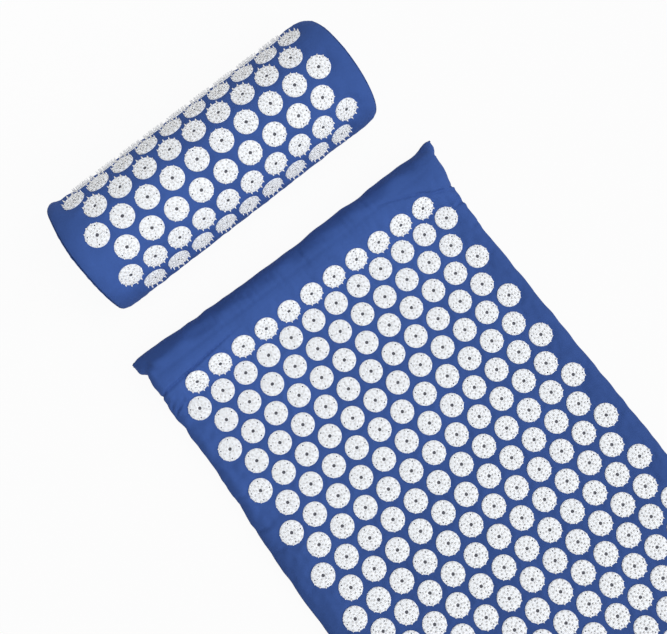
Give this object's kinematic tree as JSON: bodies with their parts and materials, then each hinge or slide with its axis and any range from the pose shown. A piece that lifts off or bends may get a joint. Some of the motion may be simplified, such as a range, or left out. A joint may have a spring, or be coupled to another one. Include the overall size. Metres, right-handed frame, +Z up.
{
  "type": "acupressure mat",
  "caption": "Foam acupressure mat in a blue cotton cover with staggered rows of white spike discs and a turn-up closing flap, plus its matching half-round pillow.",
  "frame": {"origin": "centre of the mat's underside, on the surface that the mat lies on", "axes": "+Z up, +X across the mat, +Y along the mat towards its head end and the pillow"},
  "size_m": [0.429, 0.8361, 0.1126],
  "materials": {
    "cover_cloth": "plain-weave cotton, matt",
    "disc_plastic": "moulded, satin",
    "foam": "open-cell foam, matt",
    "hook_tape": "stiff woven hook tape",
    "loop_tape": "brushed loop tape"
  },
  "bodies": {
    "base": {"mat_bottom_panel": "cover_cloth", "mat_closure_hook_tape": "hook_tape", "mat_closure_lower_lip": "cover_cloth", "mat_disc_row_01": "disc_plastic", "mat_disc_row_02": "disc_plastic", "mat_disc_row_03": "disc_plastic", "mat_disc_row_04": "disc_plastic", "mat_disc_row_05": "disc_plastic", "mat_disc_row_06": "disc_plastic", "mat_disc_row_07": "disc_plastic", "mat_disc_row_08": "disc_plastic", "mat_disc_row_09": "disc_plastic", "mat_disc_row_10": "disc_plastic", "mat_disc_row_11": "disc_plastic", "mat_disc_row_12": "disc_plastic", "mat_disc_row_13": "disc_plastic", "mat_disc_row_14": "disc_plastic", "mat_disc_row_15": "disc_plastic", "mat_disc_row_16": "disc_plastic", "mat_disc_row_17": "disc_plastic", "mat_disc_row_18": "disc_plastic", "mat_disc_row_19": "disc_plastic", "mat_disc_row_20": "disc_plastic", "mat_foam_core": "foam", "mat_head_panel": "cover_cloth", "pillow_base_panel": "cover_cloth", "pillow_disc_row_1": "disc_plastic", "pillow_disc_row_2": "disc_plastic", "pillow_disc_row_3": "disc_plastic", "pillow_disc_row_4": "disc_plastic", "pillow_disc_row_5": "disc_plastic", "pillow_disc_row_6": "disc_plastic", "pillow_disc_row_7": "disc_plastic", "pillow_end_left": "cover_cloth", "pillow_end_right": "cover_cloth", "pillow_foam_core": "foam", "pillow_side_back": "cover_cloth", "pillow_side_front": "cover_cloth"},
    "closure_flap": {"mat_closure_flap": "cover_cloth", "mat_closure_loop_tape": "loop_tape"}
  },
  "joints": [
    {"name": "closure_flap_hinge", "type": "hinge", "parent": "base", "child": "closure_flap", "pos_m": [0, -0.2854, 0.021], "axis": [-1, 0, 0], "range_deg": [0, 110]}
  ]
}
